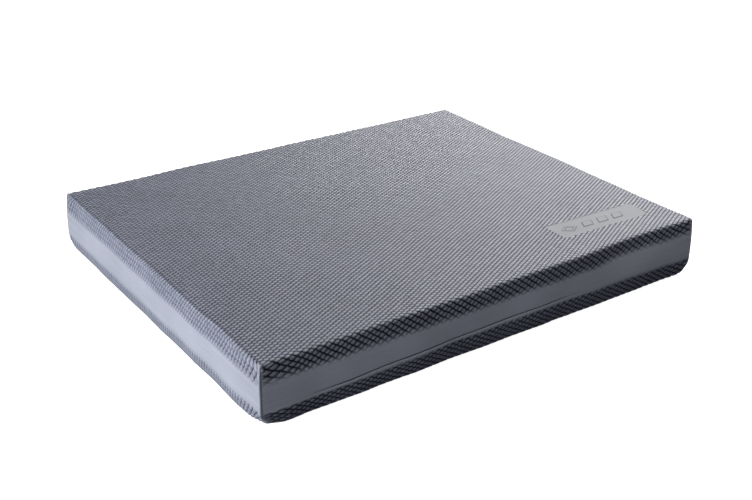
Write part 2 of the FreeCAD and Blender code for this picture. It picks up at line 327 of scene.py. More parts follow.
class Cover:
    """One embossed cover: its section, how the pattern stretches over the edges and where it fades out."""

    def __init__(self, section, stretch, fade, drawn, drawn_left_front, lean=(0.0, 0.0), open_seam=False):
        self.section = section
        self.stretch_x, self.stretch_y = stretch
        self.fade = fade
        self.drawn = drawn
        self.drawn_left_front = drawn_left_front
        self.lean_front, self.lean_left = lean
        self.open_seam = open_seam
        depth = section.length[-1]
        self.sheet_x = section.flat_x + depth / self.stretch_x
        self.sheet_y = section.flat_y + depth / self.stretch_y

    @staticmethod
    def draw_out(place, depth, flat, draw_to, end):
        """Moves places along a side towards its corner: drawn out steadily, then pinched at the very end."""
        pinch = np.minimum(PINCH_WIDTH, 0.2 * depth)
        draw_from = flat - DRAW_LENGTH
        share = np.clip((place - draw_from) / (draw_to - draw_from), 0.0, 1.0)
        room = end - pinch - draw_from
        first = (draw_to - draw_from) / room
        drawn_out = draw_from + room * (first * share + (1.0 - first) * share**2)
        along = np.where(place < draw_from, place, drawn_out)
        tail = np.clip((place - draw_to) / np.maximum(flat + depth - draw_to, TINY), 0.0, 1.0)
        return np.where(place > draw_to, end - pinch + pinch * tail, along)

    def wrap(self, u, v):
        """Places points of the flat sheet on the pad. Returns places, surface directions and four marks for
        each point: how strong the pattern is, how far its grooves open, the crease and the front's shade."""
        s = self.section
        over_x = np.maximum(np.abs(u) - s.flat_x, 0.0) * self.stretch_x
        over_y = np.maximum(np.abs(v) - s.flat_y, 0.0) * self.stretch_y
        depth = np.maximum(over_x, over_y)
        inset, z, out, rise = s.at(depth)
        long_side = over_y >= over_x
        at_front = long_side & (v < 0)
        at_left = ~long_side & (u < 0)
        flat = np.where(long_side, s.flat_x, s.flat_y)
        half = np.where(long_side, HALF_X, HALF_Y) - inset
        reach = np.where(long_side, HALF_Y, HALF_X) - inset
        radius = np.minimum(s.flat_inset - inset, upright_radius(z, (u < 0) & (v < 0)))

        past = np.minimum(over_x, over_y) / np.maximum(depth, TINY)
        place = np.minimum(np.where(long_side, np.abs(u), np.abs(v)), flat) + past * depth
        drawn = np.where(at_front & (u < 0), self.drawn_left_front, self.drawn) * smoothstep(depth, 0.0, 8.0)
        draw_to = flat - drawn
        along = self.draw_out(place, depth, flat, draw_to, half - radius + radius * math.pi / 4.0)

        straight = half - radius
        turn = np.clip((along - straight) / np.maximum(radius, TINY), 0.0, math.pi / 4.0)
        at_side = np.minimum(along, straight) + radius * np.sin(turn)
        at_reach = reach - radius + radius * np.cos(turn)
        lean = np.where(at_front, self.lean_front, 0.0) + np.where(at_left, self.lean_left, 0.0)
        lean = lean * depth * (1.0 - smoothstep(place, flat - 2.0 * DRAW_LENGTH, flat - DRAW_LENGTH))
        on_flat = depth <= 0.0
        x = np.where(long_side, np.sign(u) * at_side + lean, np.sign(u) * at_reach)
        y = np.where(long_side, np.sign(v) * at_reach, np.sign(v) * at_side + lean)
        places = np.stack([np.where(on_flat, u, x), np.where(on_flat, v, y), z], axis=1)
        normal_x = np.sign(u) * np.where(long_side, np.sin(turn), np.cos(turn)) * out
        normal_y = np.sign(v) * np.where(long_side, np.cos(turn), np.sin(turn)) * out
        normals = np.stack([normal_x, normal_y, rise], axis=1)
        normals[on_flat] = (0.0, 0.0, s.up)

        from_edge = np.maximum(np.abs(u) - s.flat_x, np.abs(v) - s.flat_y)
        pinched = smoothstep(place - draw_to, -PINCH_FADE, 0.0) * smoothstep(depth, 0.0, 1.5)
        opened = np.where(at_front, OPENED_FRONT, np.where(at_left, OPENED_LEFT, OPENED_OTHER))
        marks = {
            "strength": (1.0 - pinched) * self.fade(places, long_side, depth),
            "opened": 1.0 + (opened - 1.0) * smoothstep(depth, 0.0, 4.0),
            "crease": np.clip(1.0 - np.abs(from_edge - CREASE_MIDDLE) / CREASE_HALF, 0.0, 1.0),
            # Painted shade on the front side.
            "shade": np.where(at_front, smoothstep(depth, 0.5, 3.5), 0.0),
        }
        return places, normals, marks


def fade_top(places, long_side, depth):
    """The top pattern dies out down the sides: softly and higher up at the front, more abruptly elsewhere."""
    x, y, z = places.T
    front = long_side & (y < 0)
    left = ~long_side & (x < 0)
    at_front = TOP_FADE_FRONT + TOP_FADE_RIGHT_RISE * smoothstep(x, 90.0, 170.0)
    middle = np.where(front, at_front, np.where(left, TOP_FADE_LEFT, TOP_FADE_OTHER))
    spread = np.where(front, TOP_FADE_SOFT, TOP_FADE_CRISP)
    middle = middle + np.where(left, 0.25, 0.7) * fade_wave(x + y, 0.0)
    return smoothstep(z, middle - spread, middle + spread)


def fade_bottom(places, long_side, depth):
    """The bottom pattern stops below the joint line, a little lower towards the corners."""
    x, y, z = places.T
    front = long_side & (y < 0)
    rise = 2.0 * smoothstep(x, -190.0, -40.0) - 1.5 * smoothstep(x, 180.0, 245.0)
    middle = np.where(front, BOTTOM_FADE_FRONT + rise, BOTTOM_FADE_OTHER) + 0.4 * fade_wave(x + y, 40.0)
    return 1.0 - smoothstep(z, middle - BOTTOM_FADE, middle + BOTTOM_FADE)


def unlattice(p, q):
    """Where a place in the lattice of lozenges lies on the flat sheet."""
    return (p + q) * LOZENGE_LENGTH / 2.0, (p - q) * LOZENGE_WIDTH / 2.0


def lozenge_points(half_u, half_v):
    """The points of a flat sheet of lozenges about the origin, as u, v and height, and how they join up: the
    indices of each lozenge's four groove corners, and of its four raised points and its middle."""
    reach = int(half_u / LOZENGE_LENGTH + half_v / LOZENGE_WIDTH) + 3
    p, q = np.meshgrid(np.arange(-reach, reach + 1), np.arange(-reach, reach + 1), indexing="ij")
    centre_u, centre_v = unlattice(p + 0.5, q + 0.5)
    near = (np.abs(centre_u) < half_u + LOZENGE_LENGTH) & (np.abs(centre_v) < half_v + LOZENGE_WIDTH)
    near[-1, :] = False
    near[:, -1] = False
    cell_p, cell_q = np.nonzero(near)
    cells = len(cell_p)
    corner_steps = ((0, 0), (1, 0), (1, 1), (0, 1))
    used = np.full(p.shape, -1)
    for step_p, step_q in corner_steps:
        used[cell_p + step_p, cell_q + step_q] = 0
    node_p, node_q = np.nonzero(used == 0)
    grooves = len(node_p)
    used[node_p, node_q] = np.arange(grooves)

    t = TIP_SHARE
    s = SIDE_SHARE
    inner_steps = ((t, t, 1.0), (1 - s, s, 1.0), (1 - t, 1 - t, 1.0), (s, 1 - s, 1.0), (0.5, 0.5, CROWN))
    points = [(*unlattice(p[node_p, node_q], q[node_p, node_q]), np.zeros(grooves))]
    jitter = RANDOM.uniform(-HEIGHT_JITTER, HEIGHT_JITTER, cells)
    for step_p, step_q, height in inner_steps:
        u, v = unlattice(p[cell_p, cell_q] + step_p, q[cell_p, cell_q] + step_q)
        points.append((u, v, height + jitter))
    corners = [used[cell_p + step_p, cell_q + step_q] for step_p, step_q in corner_steps]
    inner = [grooves + cells * step + np.arange(cells) for step in range(len(inner_steps))]
    return np.concatenate(points, axis=1), corners, inner


def lozenge_sheet(half_u, half_v, crowned):
    """A flat bmesh of raised lozenges about the origin. Z is nought in the grooves and one on the lozenges,
    with a little more in the middle of each if they are crowned."""
    (u, v, h), corners, inner = lozenge_points(half_u, half_v)
    faces = []
    for side in range(4):
        after = (side + 1) % 4
        faces += np.stack([corners[side], corners[after], inner[after], inner[side]], axis=1).tolist()
        if crowned:
            faces += np.stack([inner[side], inner[after], inner[4]], axis=1).tolist()
    if not crowned:
        faces += np.stack(inner[:4], axis=1).tolist()
    shift_u, shift_v = lattice_shift(u, v)
    mesh = bpy.data.meshes.new("sheet")
    mesh.from_pydata(np.stack([u + shift_u, v + shift_v, h], axis=1).tolist(), [], faces)
    bm = bmesh.new()
    bm.from_mesh(mesh)
    bpy.data.meshes.remove(mesh)
    bmesh.ops.delete(bm, geom=[vert for vert in bm.verts if not vert.link_faces], context="VERTS")
    return bm


def lattice_place(u, v):
    """Where points of the flat sheet lie in the lattice of lozenges: whole numbers fall in the grooves."""
    shift_u, shift_v = lattice_shift(u, v)
    along = (u - shift_u) / LOZENGE_LENGTH
    across = (v - shift_v) / LOZENGE_WIDTH
    return along + across, along - across


def parts_of(faces):
    """The faces with their edges and points, as cutting needs them."""
    edges = {e for f in faces for e in f.edges}
    verts = {v for f in faces for v in f.verts}
    return list(verts) + list(edges) + list(faces)


def cut(bm, geometry, point, direction, drop_outer=False):
    """Cuts part of the sheet along an upright plane. Returns that part with what the cut added."""
    plane = {"plane_co": (*point, 0.0), "plane_no": (*direction, 0.0)}
    return bmesh.ops.bisect_plane(bm, geom=geometry, dist=1e-4, clear_outer=drop_outer, **plane)["geom"]


def fold_lines(cover, stretch):
    """Distances past the flat at which the sheet needs an edge, to bend smoothly there."""
    steps = round(cover.section.round_length / FOLD_SPACING) + 1
    past = list(np.linspace(0.0, cover.section.round_length, steps))
    if cover.open_seam:
        past += [cover.section.length[-1] - 1.3, cover.section.length[-1] - 0.5]
    else:
        past += [CREASE_MIDDLE - CREASE_HALF]
    return np.array(past) / stretch


def trim_and_fold(bm, cover):
    """Cuts the sheet to size and gives it the edges along which it bends."""
    ends = (cover.section.flat_x, cover.sheet_x, cover.stretch_x)
    flanks = (cover.section.flat_y, cover.sheet_y, cover.stretch_y)
    sides = {(1.0, 0.0): ends, (-1.0, 0.0): ends, (0.0, 1.0): flanks, (0.0, -1.0): flanks}
    for direction, (flat, size, stretch) in sides.items():
        away = Vector((*direction, 0.0))
        near = [f for f in bm.faces if f.calc_center_median().dot(away) > flat - LOZENGE_LENGTH]
        border = (direction[0] * size, direction[1] * size)
        geometry = cut(bm, parts_of(near), border, direction, drop_outer=True)
        for past in fold_lines(cover, stretch):
            point = (direction[0] * (flat + past), direction[1] * (flat + past))
            geometry = cut(bm, geometry, point, direction)


def label_outline(grow=0.0, steps=6):
    """Corner points of the label's rounded outline, anticlockwise, optionally grown outwards."""
    turn = math.radians(LABEL_TURN)
    points = []
    signs = ((-1, -1), (1, -1), (1, 1), (-1, 1))
    for corner, (sign_x, sign_y) in enumerate(signs):
        radius = LABEL_CORNERS[corner]
        cx = sign_x * (LABEL_HALF[0] - radius)
        cy = sign_y * (LABEL_HALF[1] - radius)
        for step in range(steps + 1):
            angle = math.radians(180.0 + 90.0 * corner + 90.0 * step / steps)
            x = cx + (radius + grow) * math.cos(angle)
            y = cy + (radius + grow) * math.sin(angle)
            turned_x = LABEL_CENTRE[0] + x * math.cos(turn) - y * math.sin(turn)
            turned_y = LABEL_CENTRE[1] + x * math.sin(turn) + y * math.cos(turn)
            points.append((turned_x, turned_y))
    return points


def label_distance(x, y):
    """Distance outside the label's rectangle, negative inside, with the corners left square."""
    turn = math.radians(LABEL_TURN)
    along = (x - LABEL_CENTRE[0]) * math.cos(turn) + (y - LABEL_CENTRE[1]) * math.sin(turn)
    across = -(x - LABEL_CENTRE[0]) * math.sin(turn) + (y - LABEL_CENTRE[1]) * math.cos(turn)
    return np.maximum(np.abs(along) - LABEL_HALF[0], np.abs(across) - LABEL_HALF[1])


def edge_planes(points):
    """Start point and outward direction of each edge of an anticlockwise outline."""
    planes = []
    for (ax, ay), (bx, by) in zip(points, points[1:] + points[:1]):
        length = math.hypot(bx - ax, by - ay)
        planes.append(((ax, ay), ((by - ay) / length, -(bx - ax) / length)))
    return planes


def cut_label_hole(bm):
    """Opens the sheet along the label's outline."""
    planes = edge_planes(label_outline())
    reach_x = LABEL_HALF[0] + LOZENGE_LENGTH
    reach_y = LABEL_HALF[1] + LOZENGE_LENGTH

    def close(co):
        return abs(co.x - LABEL_CENTRE[0]) < reach_x and abs(co.y - LABEL_CENTRE[1]) < reach_y

    def inside(co):
        return all((co.x - p[0]) * d[0] + (co.y - p[1]) * d[1] < 0.0 for p, d in planes)

    geometry = parts_of([f for f in bm.faces if close(f.calc_center_median())])
    for point, direction in planes:
        geometry = cut(bm, geometry, point, direction)
    faces = [g for g in geometry if isinstance(g, bmesh.types.BMFace)]
    doomed = [f for f in faces if inside(f.calc_center_median())]
    bmesh.ops.delete(bm, geom=doomed, context="FACES")


def seam_offset(x):
    """How far the joint line above the bottom cover lies from its usual height along the front."""
    return np.interp(x, SEAM_X, SEAM_RISE)


def settle(places):
    """The shared sculpting of the whole pad: a slack, handled block of foam instead of a true box."""
    x, y, z = places.T
    upper = smoothstep(z, 25.0, 60.0)
    lower = 1.0 - smoothstep(z, 0.0, 24.0)
    front = smoothstep(-y, HALF_Y - 70.0, HALF_Y)
    at_front = smoothstep(-y, HALF_Y - 9.0, HALF_Y - 3.0)
    dx = SIDE_WAVE * side_wave(y, z * 1.5) * np.sign(x) * smoothstep(np.abs(x), 200.0, 250.0)
    dy = SIDE_WAVE * side_wave(x, z * 1.5 + 300.0) * np.sign(y) * smoothstep(np.abs(y), 150.0, 200.0)
    dz = TOP_SWELL * swell(x, y) * upper

    bow = bump_at(x, BOW_CENTRE, BOW_HALF) * front * upper
    dz = dz + BOW_RISE * bow
    dy = dy + BOW_OUT * bow

    sag = bump_at(y, -HALF_Y, SAG_HALF) * smoothstep(-x, 190.0, 250.0) * upper
    dx = dx - SAG_OUT * sag

    from_corner = np.hypot(x + HALF_X, y + HALF_Y)
    lift = (1.0 - smoothstep(from_corner, 0.0, LIFT_REACH)) * (1.0 - smoothstep(z, 0.0, 20.0))
    dz = dz + LIFT_RISE * lift
    dx = dx + LIFT_IN * lift
    dy = dy + LIFT_IN * lift

    rim = smoothstep(np.maximum(np.abs(x) - HALF_X, np.abs(y) - HALF_Y), -22.0, -6.0)
    dz = dz + rim * lower * (FOOT_LEVEL + FOOT_WAVE * foot_wave(x, y))

    joint = smoothstep(z, 16.0, SEAM_Z) * (1.0 - smoothstep(z, SEAM_Z, UPPER_CORE_Z))
    dz = dz + seam_offset(x) * joint * at_front
    return places + np.stack([dx, dy, dz], axis=1)


def seam_opening(x, y, z):
    """How open the joint line is at a point of the sides: a fine slit along most of the front."""
    along_front = smoothstep(x, -215.0, -165.0) * (1.0 - smoothstep(x, 40.0, 105.0))
    open_front = along_front * (y < -HALF_Y + 12.0)
    open_back = 0.6 * bump_at(x, 90.0, 120.0) * (y > HALF_Y - 12.0)
    return (open_front + open_back) * (1.0 - smoothstep(np.abs(z - SEAM_Z), 0.0, SEAM_HALF))


def corner_drag(x, y):
    """One at the upright corners, falling to nought where the foam is no longer drawn out."""
    away = np.maximum(HALF_X - np.abs(x), HALF_Y - np.abs(y))
    return 1.0 - smoothstep(away, 6.0, 42.0)


def set_layers(bm, layers):
    """Stores named per-vertex numbers, which the materials read."""
    keys = {name: bm.verts.layers.float.new(name) for name in layers}
    for index, vert in enumerate(bm.verts):
        for name, values in layers.items():
            vert[keys[name]] = values[index]


def finish_piece(name, bm, node, material):
    """Turns a bmesh in millimetres into a shown piece that takes the place of its CAD node."""
    bmesh.ops.recalc_face_normals(bm, faces=bm.faces[:])
    mesh = bpy.data.meshes.new(name)
    bm.to_mesh(mesh)
    bm.free()
    places = np.empty(len(mesh.vertices) * 3)
    mesh.vertices.foreach_get("co", places)
    places = settle(places.reshape(-1, 3))
    mesh.vertices.foreach_set("co", (places * MM).ravel())
    mesh.materials.append(material)
    mesh.update()
    piece = bpy.data.objects.new(name, mesh)
    bpy.context.scene.collection.objects.link(piece)
    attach(piece, "root")
    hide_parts(node)
    return piece


def extrude(bm, edges):
    """New points and edges grown from free edges, still in the same place."""
    grown = bmesh.ops.extrude_edge_only(bm, edges=edges)["geom"]
    verts = [g for g in grown if isinstance(g, bmesh.types.BMVert)]
    return verts, [g for g in grown if isinstance(g, bmesh.types.BMEdge)]


def draw_in(bm, edges, rings):
    """Grows a free loop inwards to each (inset, height) in turn. Returns the points and edges of the last."""
    for inset, z in rings:
        verts, edges = extrude(bm, edges)
        for vert in verts:
            vert.co.x = max(inset - HALF_X, min(HALF_X - inset, vert.co.x))
            vert.co.y = max(inset - HALF_Y, min(HALF_Y - inset, vert.co.y))
            vert.co.z = z
    return verts, edges


def cap(bm, verts, edges):
    """Fills a flat loop with one face, after welding points that fell together."""
    if verts:
        bmesh.ops.remove_doubles(bm, verts=verts, dist=0.01)
    loop = [e for e in edges if e.is_valid and len(e.link_faces) == 1]
    made = bmesh.ops.edgeloop_fill(bm, edges=loop)["faces"]
    for face in made:
        face.smooth = False
    return made


def shape_cover(bm, cover, label_hole):
    """Lays the flat sheet over the pad, presses in its grooves and stores what the materials read."""
    u, v, h = np.array([vert.co[:] for vert in bm.verts]).T
    if not label_hole:
        h = np.minimum(h, 1.0)
    places, normals, marks = cover.wrap(u, v)
    strength = marks["strength"]
    height = strength
    if label_hole:
        height = strength * smoothstep(label_distance(u, v), -0.2, 1.6)
    opening = seam_opening(*places.T) if cover.open_seam else np.zeros(len(u))
    sink = GROOVE_DEPTH * (1.0 - h) * height + SEAM_DEPTH * opening + CREASE_DEPTH * marks["crease"]
    places = places - normals * sink[:, None]
    for vert, place in zip(bm.verts, places):
        vert.co = place
    lattice_p, lattice_q = lattice_place(u, v)
    layers = {
        "lattice_p": lattice_p,
        "lattice_q": lattice_q,
        "groove": marks["opened"] * (1.0 - np.minimum(h, 1.0)),
        "emboss": strength,
        # Painted shade: the joint's slit and the crease are darkened.
        "slit": np.maximum(opening, CREASE_PAINTED_SHADE * marks["crease"]),
        "drag": corner_drag(places[:, 0], places[:, 1]),
        "shade": marks["shade"] * strength,
    }
    set_layers(bm, layers)


def close_cover(bm, cover, seat_z):
    """Makes the sheet a closed solid, from its lip to the seat of the core and with a floor in any hole."""
    for face in bm.faces:
        face.smooth = True
    free = [e for e in bm.edges if e.is_boundary]
    for edge in free:
        edge.smooth = False
    lip = [e for e in free if abs(e.verts[0].co.z - cover.section.lip_z) < 1.0]
    hole = [e for e in free if abs(e.verts[0].co.z - cover.section.lip_z) >= 1.0]
    verts, edges = draw_in(bm, lip, [(RIM_LIP, cover.section.lip_z), (RIM_ROOT, seat_z)])
    cap(bm, verts, edges)
    if hole:
        verts, edges = extrude(bm, hole)
        for vert in verts:
            vert.co.z = LABEL_SEAT_Z
        cap(bm, verts, edges)


def build_cover(name, cover, seat_z, node, material, label_hole=False):
    """One cover. The one with the label's hole is the top, whose lozenges are crowned and may vary in height.
    Those of the other are at most level, as the pad stands on them."""
    bm = lozenge_sheet(cover.sheet_x, cover.sheet_y, crowned=label_hole)
    trim_and_fold(bm, cover)
    if label_hole:
        cut_label_hole(bm)
    shape_cover(bm, cover, label_hole)
    close_cover(bm, cover, seat_z)
    return finish_piece(name, bm, node, material)


def outline(z, inset=None, radius=None):
    """Points round the pad at a height, anticlockwise from the front, each with its outward direction."""
    inset = side_inset(z) if inset is None else inset
    radii = [float(upright_radius(z, corner == 3)) if radius is None else radius for corner in range(4)]
    points = []
    for side in range(4):
        facing = math.radians(90.0 * side - 90.0)
        out = Vector((math.cos(facing), math.sin(facing)))
        along = Vector((-out.y, out.x))
        reach, half = (HALF_Y, HALF_X) if side % 2 == 0 else (HALF_X, HALF_Y)
        start = radii[side - 1] + inset - half
        end = half - inset - radii[side]
        for step in range(SIDE_STEPS):
            at_side = start + (end - start) * step / SIDE_STEPS
            points.append((out * (reach - inset) + along * at_side, out))
        for step in range(CORNER_STEPS):
            turned = Matrix.Rotation(math.radians(90.0 * step / CORNER_STEPS), 2) @ out
            centre = out * (reach - inset - radii[side]) + along * end
            points.append((centre + turned * radii[side], turned))
    return points


def join_rows(bm, rows):
    """Faces between closed rings of points, each ring above the one before. Returns the faces."""
    faces = []
    for lower, upper in zip(rows, rows[1:]):
        for index in range(len(lower)):
            after = (index + 1) % len(lower)
            faces.append(bm.faces.new((lower[index], lower[after], upper[after], upper[index])))
    return faces


def band(heights):
    """A bmesh of the bare side of the core between two heights, with the slit of the joint line worked in."""
    bm = bmesh.new()
    rows = []
    opening = []
    for z in heights:
        row = []
        for point, out in outline(z):
            slit = float(seam_opening(np.array([point.x]), np.array([point.y]), np.array([z]))[0])
            sunk = point - out * SEAM_DEPTH * slit
            row.append(bm.verts.new((sunk.x, sunk.y, z)))
            opening.append(slit)
        rows.append(row)
    for face in join_rows(bm, rows):
        face.smooth = True
    drag = [corner_drag(v.co.x, v.co.y) for v in bm.verts]
    nought = [0.0] * len(opening)
    # The slit layer carries painted shade into the joint's slit.
    set_layers(bm, {"groove": nought, "emboss": nought, "slit": opening, "drag": drag})
    return bm


def free_edges(bm, z):
    """The free edges at a height, marked as sharp."""
    edges = [e for e in bm.edges if e.is_boundary and all(abs(v.co.z - z) < 0.01 for v in e.verts)]
    for edge in edges:
        edge.smooth = False
    return edges


def build_upper_core(material):
    """The core sheet between the joint line's sheet and the top cover, with its bare edge."""
    bm = band(np.linspace(UPPER_CORE_Z, TOP_LIP_Z, 6))
    for z in (UPPER_CORE_Z, TOP_LIP_Z):
        cap(bm, [], free_edges(bm, z))
    return finish_piece("upper_core", bm, "upper_core_sheet", material)


def build_lower_core(material):
    """The core sheet that rests on the bottom cover's lip and goes down inside its rim."""
    near_seam = np.array([0.0, 0.3, 0.6, 0.9, 1.4, 2.4])
    heights = np.concatenate([SEAM_Z + near_seam, np.linspace(SEAM_Z + 4.0, UPPER_CORE_Z, 3)])
    bm = band(heights)
    cap(bm, [], free_edges(bm, UPPER_CORE_Z))
    rings = [(RIM_LIP, SEAM_Z), (RIM_LIP + RIM_TUCK, LOWER_CORE_Z)]
    verts, edges = draw_in(bm, free_edges(bm, SEAM_Z), rings)
    cap(bm, verts, edges)
    return finish_piece("lower_core", bm, "lower_core_sheet", material)


def build_hidden_core(name, node, rings, material):
    """A core sheet shut inside a cover: a bevelled slab between two (inset, height) outlines."""
    bm = bmesh.new()
    rows = [[bm.verts.new((p.x, p.y, z)) for p, _ in outline(z, inset, 0.5)] for inset, z in rings]
    join_rows(bm, rows)
    set_layers(bm, {key: [0.0] * len(bm.verts) for key in ("groove", "emboss", "slit", "drag")})
    for _, z in rings:
        cap(bm, [], free_edges(bm, z))
    return finish_piece(name, bm, node, material)


def relief(along, across):
    """Height of the label's raised marks, nought to one, with soft shoulders."""
    ring = np.abs(along - FRAME_CENTRE) / FRAME_HALF[0] + np.abs(across) / FRAME_HALF[1]
    height = smoothstep(ring, 0.48, 0.64) * (1.0 - smoothstep(ring, 0.86, 1.0))
    for centre in BLOCK_CENTRES:
        aside = np.abs(along - centre - BLOCK_SLANT * across) - BLOCK_HALF[0]
        above = np.abs(across) - BLOCK_HALF[1]
        height = np.maximum(height, 1.0 - smoothstep(np.maximum(aside, above), -1.0, 0.5))
    return height


def label_sheet():
    """A fine flat grid cut to the label's outline, with its points along and across the label."""
    bm = bmesh.new()
    columns = int(LABEL_HALF[0] * 2 / LABEL_STEP)
    rows = int(LABEL_HALF[1] * 2 / LABEL_STEP)
    turn = math.radians(LABEL_TURN)
    place = Matrix.Translation((*LABEL_CENTRE, 0.0)) @ Matrix.Rotation(turn, 4, "Z")
    size = Matrix.Diagonal((LABEL_HALF[0], LABEL_HALF[1], 1.0, 1.0))
    bmesh.ops.create_grid(bm, x_segments=columns, y_segments=rows, size=1.0, matrix=place @ size)
    for point, direction in edge_planes(label_outline(-LABEL_GAP)):
        cut(bm, parts_of(bm.faces), point, direction, drop_outer=True)
    back = place.inverted()
    local = np.array([(back @ vert.co)[:] for vert in bm.verts])
    return bm, local[:, 0], local[:, 1]


def build_label(material):
    """The smooth patch: its border sinks at the front and rises at the back and at the right end."""
    bm, along, across = label_sheet()
    inside = -label_distance(*np.array([vert.co[:2] for vert in bm.verts]).T)
    marks = relief(along, across)
    border = 1.0 - smoothstep(inside, 0.0, 1.2)
    tilt = 2.0 * smoothstep(across, -8.0, 8.0) - 1.0
    z = LABEL_TOP_Z + RELIEF_HEIGHT * marks + LABEL_BORDER * border * tilt
    z = z + LABEL_BORDER * smoothstep(along, LABEL_HALF[0] - 12.0, LABEL_HALF[0] - 1.0)
    for vert, height in zip(bm.verts, z):
        vert.co.z = height
    for face in bm.faces:
        face.smooth = True
    nought = [0.0] * len(z)
    # Painted shade round the shoulders of the raised marks.
    painted_outline_shade = OUTLINE_PAINTED_SHADE * marks * (1.0 - marks)
    set_layers(bm, {"groove": nought, "emboss": nought, "slit": painted_outline_shade, "drag": nought})
    rim = [e for e in bm.edges if e.is_boundary]
    for edge in rim:
        edge.smooth = False
    verts, edges = extrude(bm, rim)
    for vert in verts:
        vert.co.z = LABEL_SEAT_Z
    cap(bm, verts, edges)
    return finish_piece("label", bm, "label_patch", material)


class Nodes:
    """Small helper to add and join shader nodes."""

    def __init__(self, material):
        self.tree = material.node_tree

    def add(self, kind, settings=(), **values):
        node = self.tree.nodes.new(kind)
        for name, value in dict(settings).items():
            setattr(node, name, value)
        for name, value in values.items():
            self.put(node.inputs[name.replace("_", " ")], value)
        return node

    def put(self, socket, value):
        """Links a socket's value, or sets a constant."""
        if isinstance(value, bpy.types.NodeSocket):
            self.tree.links.new(value, socket)
        else:
            socket.default_value = value

    def number(self, name):
        """A per-vertex number stored on the mesh."""
        return self.add("ShaderNodeAttribute", {"attribute_name": name}).outputs["Fac"]

    def math(self, operation, a, b):
        node = self.tree.nodes.new("ShaderNodeMath")
        node.operation = operation
        self.put(node.inputs[0], a)
        self.put(node.inputs[1], b)
        return node.outputs[0]

    def mix(self, share, a, b, blend="MIX"):
        node = self.tree.nodes.new("ShaderNodeMix")
        node.data_type = "RGBA"
        node.blend_type = blend
        self.put(node.inputs[0], share)
        self.put(node.inputs[6], a)
        self.put(node.inputs[7], b)
        return node.outputs[2]

    def spread(self, value, low, high, to_low, to_high):
        """Maps a range of values to another, clamped at both ends."""
        node = self.add("ShaderNodeMapRange", Value=value)
        for index, number in enumerate((low, high, to_low, to_high), start=1):
            node.inputs[index].default_value = number
        return node.outputs[0]

    def noise(self, scale, detail, stretch=(1.0, 1.0, 1.0)):
        """Noise over the pad, scale in repeats a metre, optionally stretched."""
        where = self.add("ShaderNodeTexCoord").outputs["Object"]
        mapped = self.add("ShaderNodeMapping", Vector=where, Scale=stretch).outputs[0]
        return self.add("ShaderNodeTexNoise", Vector=mapped, Scale=scale, Detail=detail).outputs["Fac"]


def rounded(nodes):
    """Squared distance from the middle of each lozenge, one at the border of its rounded raised part."""
    p = nodes.math("SUBTRACT", nodes.math("FRACT", nodes.number("lattice_p"), 0.0), 0.5)
    q = nodes.math("SUBTRACT", nodes.math("FRACT", nodes.number("lattice_q"), 0.0), 0.5)
    along = nodes.math("MULTIPLY", nodes.math("ADD", p, q), 0.5 * LOZENGE_LENGTH / ROUND_HALF[0])
    across = nodes.math("MULTIPLY", nodes.math("SUBTRACT", p, q), 0.5 * LOZENGE_WIDTH / ROUND_HALF[1])
    return nodes.math("ADD", nodes.math("POWER", along, 2.0), nodes.math("POWER", across, 2.0))


def one_each(nodes):
    """A random number for each lozenge."""
    p = nodes.math("FLOOR", nodes.number("lattice_p"), 0.0)
    q = nodes.math("FLOOR", nodes.number("lattice_q"), 0.0)
    cell = nodes.add("ShaderNodeCombineXYZ", X=p, Y=q)
    return nodes.add("ShaderNodeTexWhiteNoise", Vector=cell.outputs[0]).outputs["Value"]


def painted_corner_shade(nodes):
    """Painted shade: a darker line down the left front corner."""
    where = nodes.add("ShaderNodeTexCoord").outputs["Object"]
    place = nodes.add("ShaderNodeSeparateXYZ", Vector=where)
    from_x = nodes.math("ADD", place.outputs[0], HALF_X * MM)
    from_y = nodes.math("ADD", place.outputs[1], HALF_Y * MM)
    away = nodes.math("MAXIMUM", from_x, from_y)
    return nodes.spread(away, CORNER_LINE[0] * MM, CORNER_LINE[1] * MM, CORNER_PAINTED_SHADE, 0.0)


def painted_shade_parts(nodes, emboss, from_middle):
    """Painted shade: one in the grooves, round each lozenge's raised middle, in the slit and on the corner
    line, nought elsewhere.
    """
    line = nodes.spread(nodes.number("groove"), 0.16, 0.73, 0.0, 1.0)
    gap = nodes.spread(from_middle, 0.75, 1.25, 0.0, 0.95)
    sunk = nodes.math("MULTIPLY", nodes.math("MAXIMUM", line, gap), emboss)
    sunk = nodes.math("MAXIMUM", sunk, nodes.number("slit"))
    return nodes.math("MAXIMUM", sunk, painted_corner_shade(nodes))


def foam_tone(nodes, emboss, from_middle, mottle, grain, streak):
    """How much lighter or darker than its base colour the foam is: mottled, speckled and streaked, with a
    painted highlight on the middle of each lozenge, painted shade at its border and painted shade on the
    front side.
    """
    speckle = nodes.noise(SPECKLE_SCALE, 1.0)
    tone = nodes.spread(mottle, 0.3, 0.7, 0.93, 1.07)
    tone = nodes.math("MULTIPLY", tone, nodes.spread(grain, 0.3, 0.7, 0.95, 1.05))
    # Painted highlight and shade: each lozenge's middle lighter, its border darker.
    painted_crown_highlight = nodes.spread(from_middle, 0.0, 0.7, 0.3, -0.1)
    uneven = nodes.math("ADD", nodes.spread(speckle, 0.3, 0.7, -0.13, 0.13), painted_crown_highlight)
    uneven = nodes.math("ADD", uneven, nodes.spread(one_each(nodes), 0.0, 1.0, -0.05, 0.05))
    # The uneven tone holds the painted crown highlight as well as the random tone.
    tone = nodes.math("ADD", tone, nodes.math("MULTIPLY", uneven, emboss))
    bare = nodes.math("SUBTRACT", 1.0, emboss)
    streaked = nodes.spread(streak, 0.3, 0.7, -0.04, 0.04)
    tone = nodes.math("ADD", tone, nodes.math("MULTIPLY", streaked, bare))
    pulled = nodes.spread(streak, 0.35, 0.65, -0.035, 0.035)
    tone = nodes.math("ADD", tone, nodes.math("MULTIPLY", pulled, nodes.number("drag")))
    # Painted shade: darker on the front side.
    return nodes.math("MULTIPLY", tone, nodes.spread(nodes.number("shade"), 0.0, 1.0, 1.0, FRONT_SHADE))


